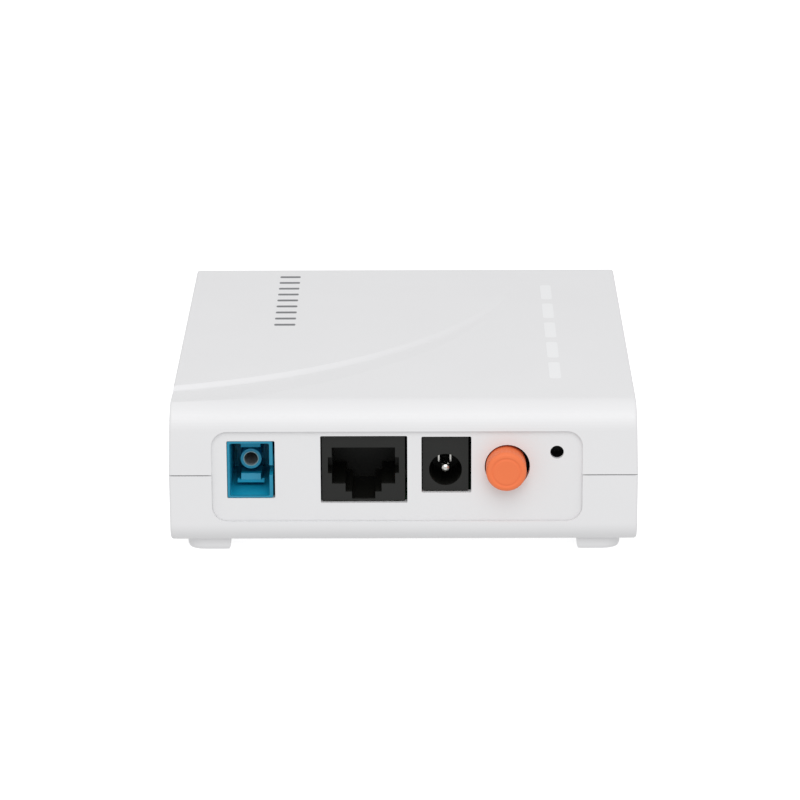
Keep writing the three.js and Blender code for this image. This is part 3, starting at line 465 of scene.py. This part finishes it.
def pin_one_marks():
    """A thin disc near the first lead of each memory."""
    radius, ink, inward = 0.45, 0.02, 1.2

    def build(bm):
        for name in ("memory_chip", "flash_chip"):
            x0, _, y0, _, _, z1 = span(name)
            disc = ((0, z1 - ink), (radius, z1 - ink), (radius, z1 + ink), (0, z1 + ink))
            turned(bm, disc, (x0 + inward, y0 + inward))

    piece("chip_pin_marks", build, PRINT_GREY)


def capacitor(i):
    """Aluminium can with a rolled groove and a dark polarity patch, on a square black base."""
    name = f"electrolytic_capacitor_{i}"
    x0, x1, y0, y1, z0, z1 = span(name)
    centre = ((x0 + x1) / 2, (y0 + y1) / 2)
    radius = (x1 - x0) / 2 - 0.2
    base_top = z0 + 1.1
    groove = base_top + 1.0
    ink = 0.02
    can = ((0, base_top - 0.1), (radius, base_top - 0.1), (radius, groove - 0.35), (radius - 0.25, groove),
           (radius, groove + 0.35), (radius, z1 - 0.5), (radius - 0.15, z1 - 0.15), (radius - 0.5, z1),
           (0, z1))
    piece(f"capacitor_can_{i}", lambda bm: turned(bm, can, centre, sides=40),
          MATERIALS["aluminium"], stands_for=(name,))
    piece(f"capacitor_base_{i}", lambda bm: prism(bm, rounded(x0, x1, y0, y1, 0.9), z0 - 0.2, base_top),
          CAPACITOR_BASE, bevel=0.1)

    def patch(bm):
        steps = 10
        inner = radius - 0.7
        arc = [math.radians(125 + 110 * k / steps) for k in range(steps + 1)]
        outline = [(centre[0] + inner * math.cos(a), centre[1] + inner * math.sin(a)) for a in arc]
        prism(bm, outline, z1 - ink, z1 + ink)

    piece(f"capacitor_mark_{i}", patch, CAPACITOR_BASE)


CASE_SCREWS = [(x, y) for x in (-36.65, 36.65) for y in (-39.2, 41.8)]


def free_places(count):
    """Seeded places on the board, clear of the larger parts and of each other: x, y and the turn."""
    rng = random.Random(7)
    screw_room, clearance, spacing = 4.5, 2.2, 2.6
    edge_margin, front_margin = 3, 12
    keep_out = [span(name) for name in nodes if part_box(name)[0].z < (BOARD_TOP + 1.5) * MM
                and name not in ("main_board", "top_cover", "bottom_shell", "rating_label")]
    keep_out += [(x - screw_room, x + screw_room, y - screw_room, y + screw_room, 0, 0)
                 for x, y in CASE_SCREWS]
    x0, x1, y0, y1, _, _ = span("main_board")
    placed = []
    while len(placed) < count:
        x = rng.uniform(x0 + edge_margin, x1 - edge_margin)
        y = rng.uniform(y0 + front_margin, y1 - edge_margin)
        if any(b[0] - clearance < x < b[1] + clearance and b[2] - clearance < y < b[3] + clearance
               for b in keep_out):
            continue
        if any(abs(x - u) < spacing and abs(y - v) < spacing for u, v, _ in placed):
            continue
        placed.append((x, y, rng.random() < 0.5))
    return placed


def passives():
    """Small chip resistors and capacitors, scattered between the larger parts."""
    placed = free_places(90)

    def parts(bm, long0, long1, half, height):
        """One block on each place, or one at both ends of it where the lengths start past 0."""
        for x, y, lengthwise in placed:
            for sign in ((-1, 1) if long0 > 0 else (1,)):
                a, b = sorted((sign * long0, sign * long1))
                box = (x + a, x + b, y - half, y + half) if lengthwise else (x - half, x + half, y + a, y + b)
                prism(bm, rounded(*box, 0.05, 1), BOARD_TOP - 0.01, BOARD_TOP + height)

    piece("passive_bodies", lambda bm: parts(bm, -0.6, 0.6, 0.4, 0.5), CERAMIC_PART)
    piece("passive_ends", lambda bm: parts(bm, 0.55, 0.85, 0.43, 0.54),
          MATERIALS["plated_steel"])


chip_leads()
pin_one_marks()
for i in (1, 2, 3):
    capacitor(i)
passives()

# ---------------------------------------------------------------- floor, light and camera

def add_stage():
    """A pale floor, a white surround that lights a little less than it shows, and one large softbox."""
    scene = bpy.context.scene
    scene.view_settings.view_transform = "Standard"

    bpy.ops.mesh.primitive_plane_add(size=8)
    floor = bpy.context.object
    floor.name = "floor"
    s = Shader("pale_floor")
    speck = s.noise(0.2, 2.0)
    s.set(Base_Color=s.ramp(speck, 0.88, 0.9), Roughness=0.9)
    s.set(Emission_Color=(1, 1, 1, 1), Emission_Strength=0.5)
    floor.data.materials.append(s.material)
    floor.visible_diffuse = False
    floor.visible_glossy = False

    world = bpy.data.worlds.new("surround")
    world.use_nodes = True
    background = world.node_tree.nodes["Background"]
    background.inputs["Color"].default_value = (1, 1, 1, 1)
    path = world.node_tree.nodes.new("ShaderNodeLightPath")
    level = world.node_tree.nodes.new("ShaderNodeMapRange")
    level.inputs["To Min"].default_value = WORLD_LEVEL
    world.node_tree.links.new(path.outputs["Is Camera Ray"], level.inputs["Value"])
    world.node_tree.links.new(level.outputs["Result"], background.inputs["Strength"])
    scene.world = world

    for name, at, size, power in SOFTBOXES:
        data = bpy.data.lights.new(name, "AREA")
        data.size = size
        data.energy = power
        lamp = bpy.data.objects.new(name, data)
        lamp.location = at
        lamp.rotation_euler = (Vector((0, 0, 0.015)) - Vector(at)).to_track_quat("-Z", "Y").to_euler()
        scene.collection.objects.link(lamp)


WORLD_LEVEL = 0.755
SOFTBOXES = (
    ("key_softbox", (0.05, -0.78, 0.8), 0.75, 4.4),
)

SENSOR_WIDTH = 36
FOCAL_LENGTH = 173.4
CAMERA_AT = (0.0041, -0.7338, 0.2446)
CAMERA_PITCH = math.radians(17.33)
CAMERA_YAW = math.radians(-0.39)
CAMERA_ROLL = math.radians(-0.26)


def add_camera():
    data = bpy.data.cameras.new("camera")
    data.lens = FOCAL_LENGTH
    data.sensor_width = SENSOR_WIDTH
    camera = bpy.data.objects.new("camera", data)
    ahead = Vector((
        math.sin(CAMERA_YAW) * math.cos(CAMERA_PITCH),
        math.cos(CAMERA_YAW) * math.cos(CAMERA_PITCH),
        -math.sin(CAMERA_PITCH),
    ))
    level = Vector((math.cos(CAMERA_YAW), -math.sin(CAMERA_YAW), 0))
    up = level.cross(ahead)
    right = math.cos(CAMERA_ROLL) * level + math.sin(CAMERA_ROLL) * up
    up = right.cross(ahead)
    turn = Matrix((right, up, -ahead)).transposed()
    camera.matrix_world = Matrix.Translation(CAMERA_AT) @ turn.to_4x4()
    bpy.context.scene.collection.objects.link(camera)
    bpy.context.scene.camera = camera


add_stage()
add_camera()

bpy.context.view_layer.update()
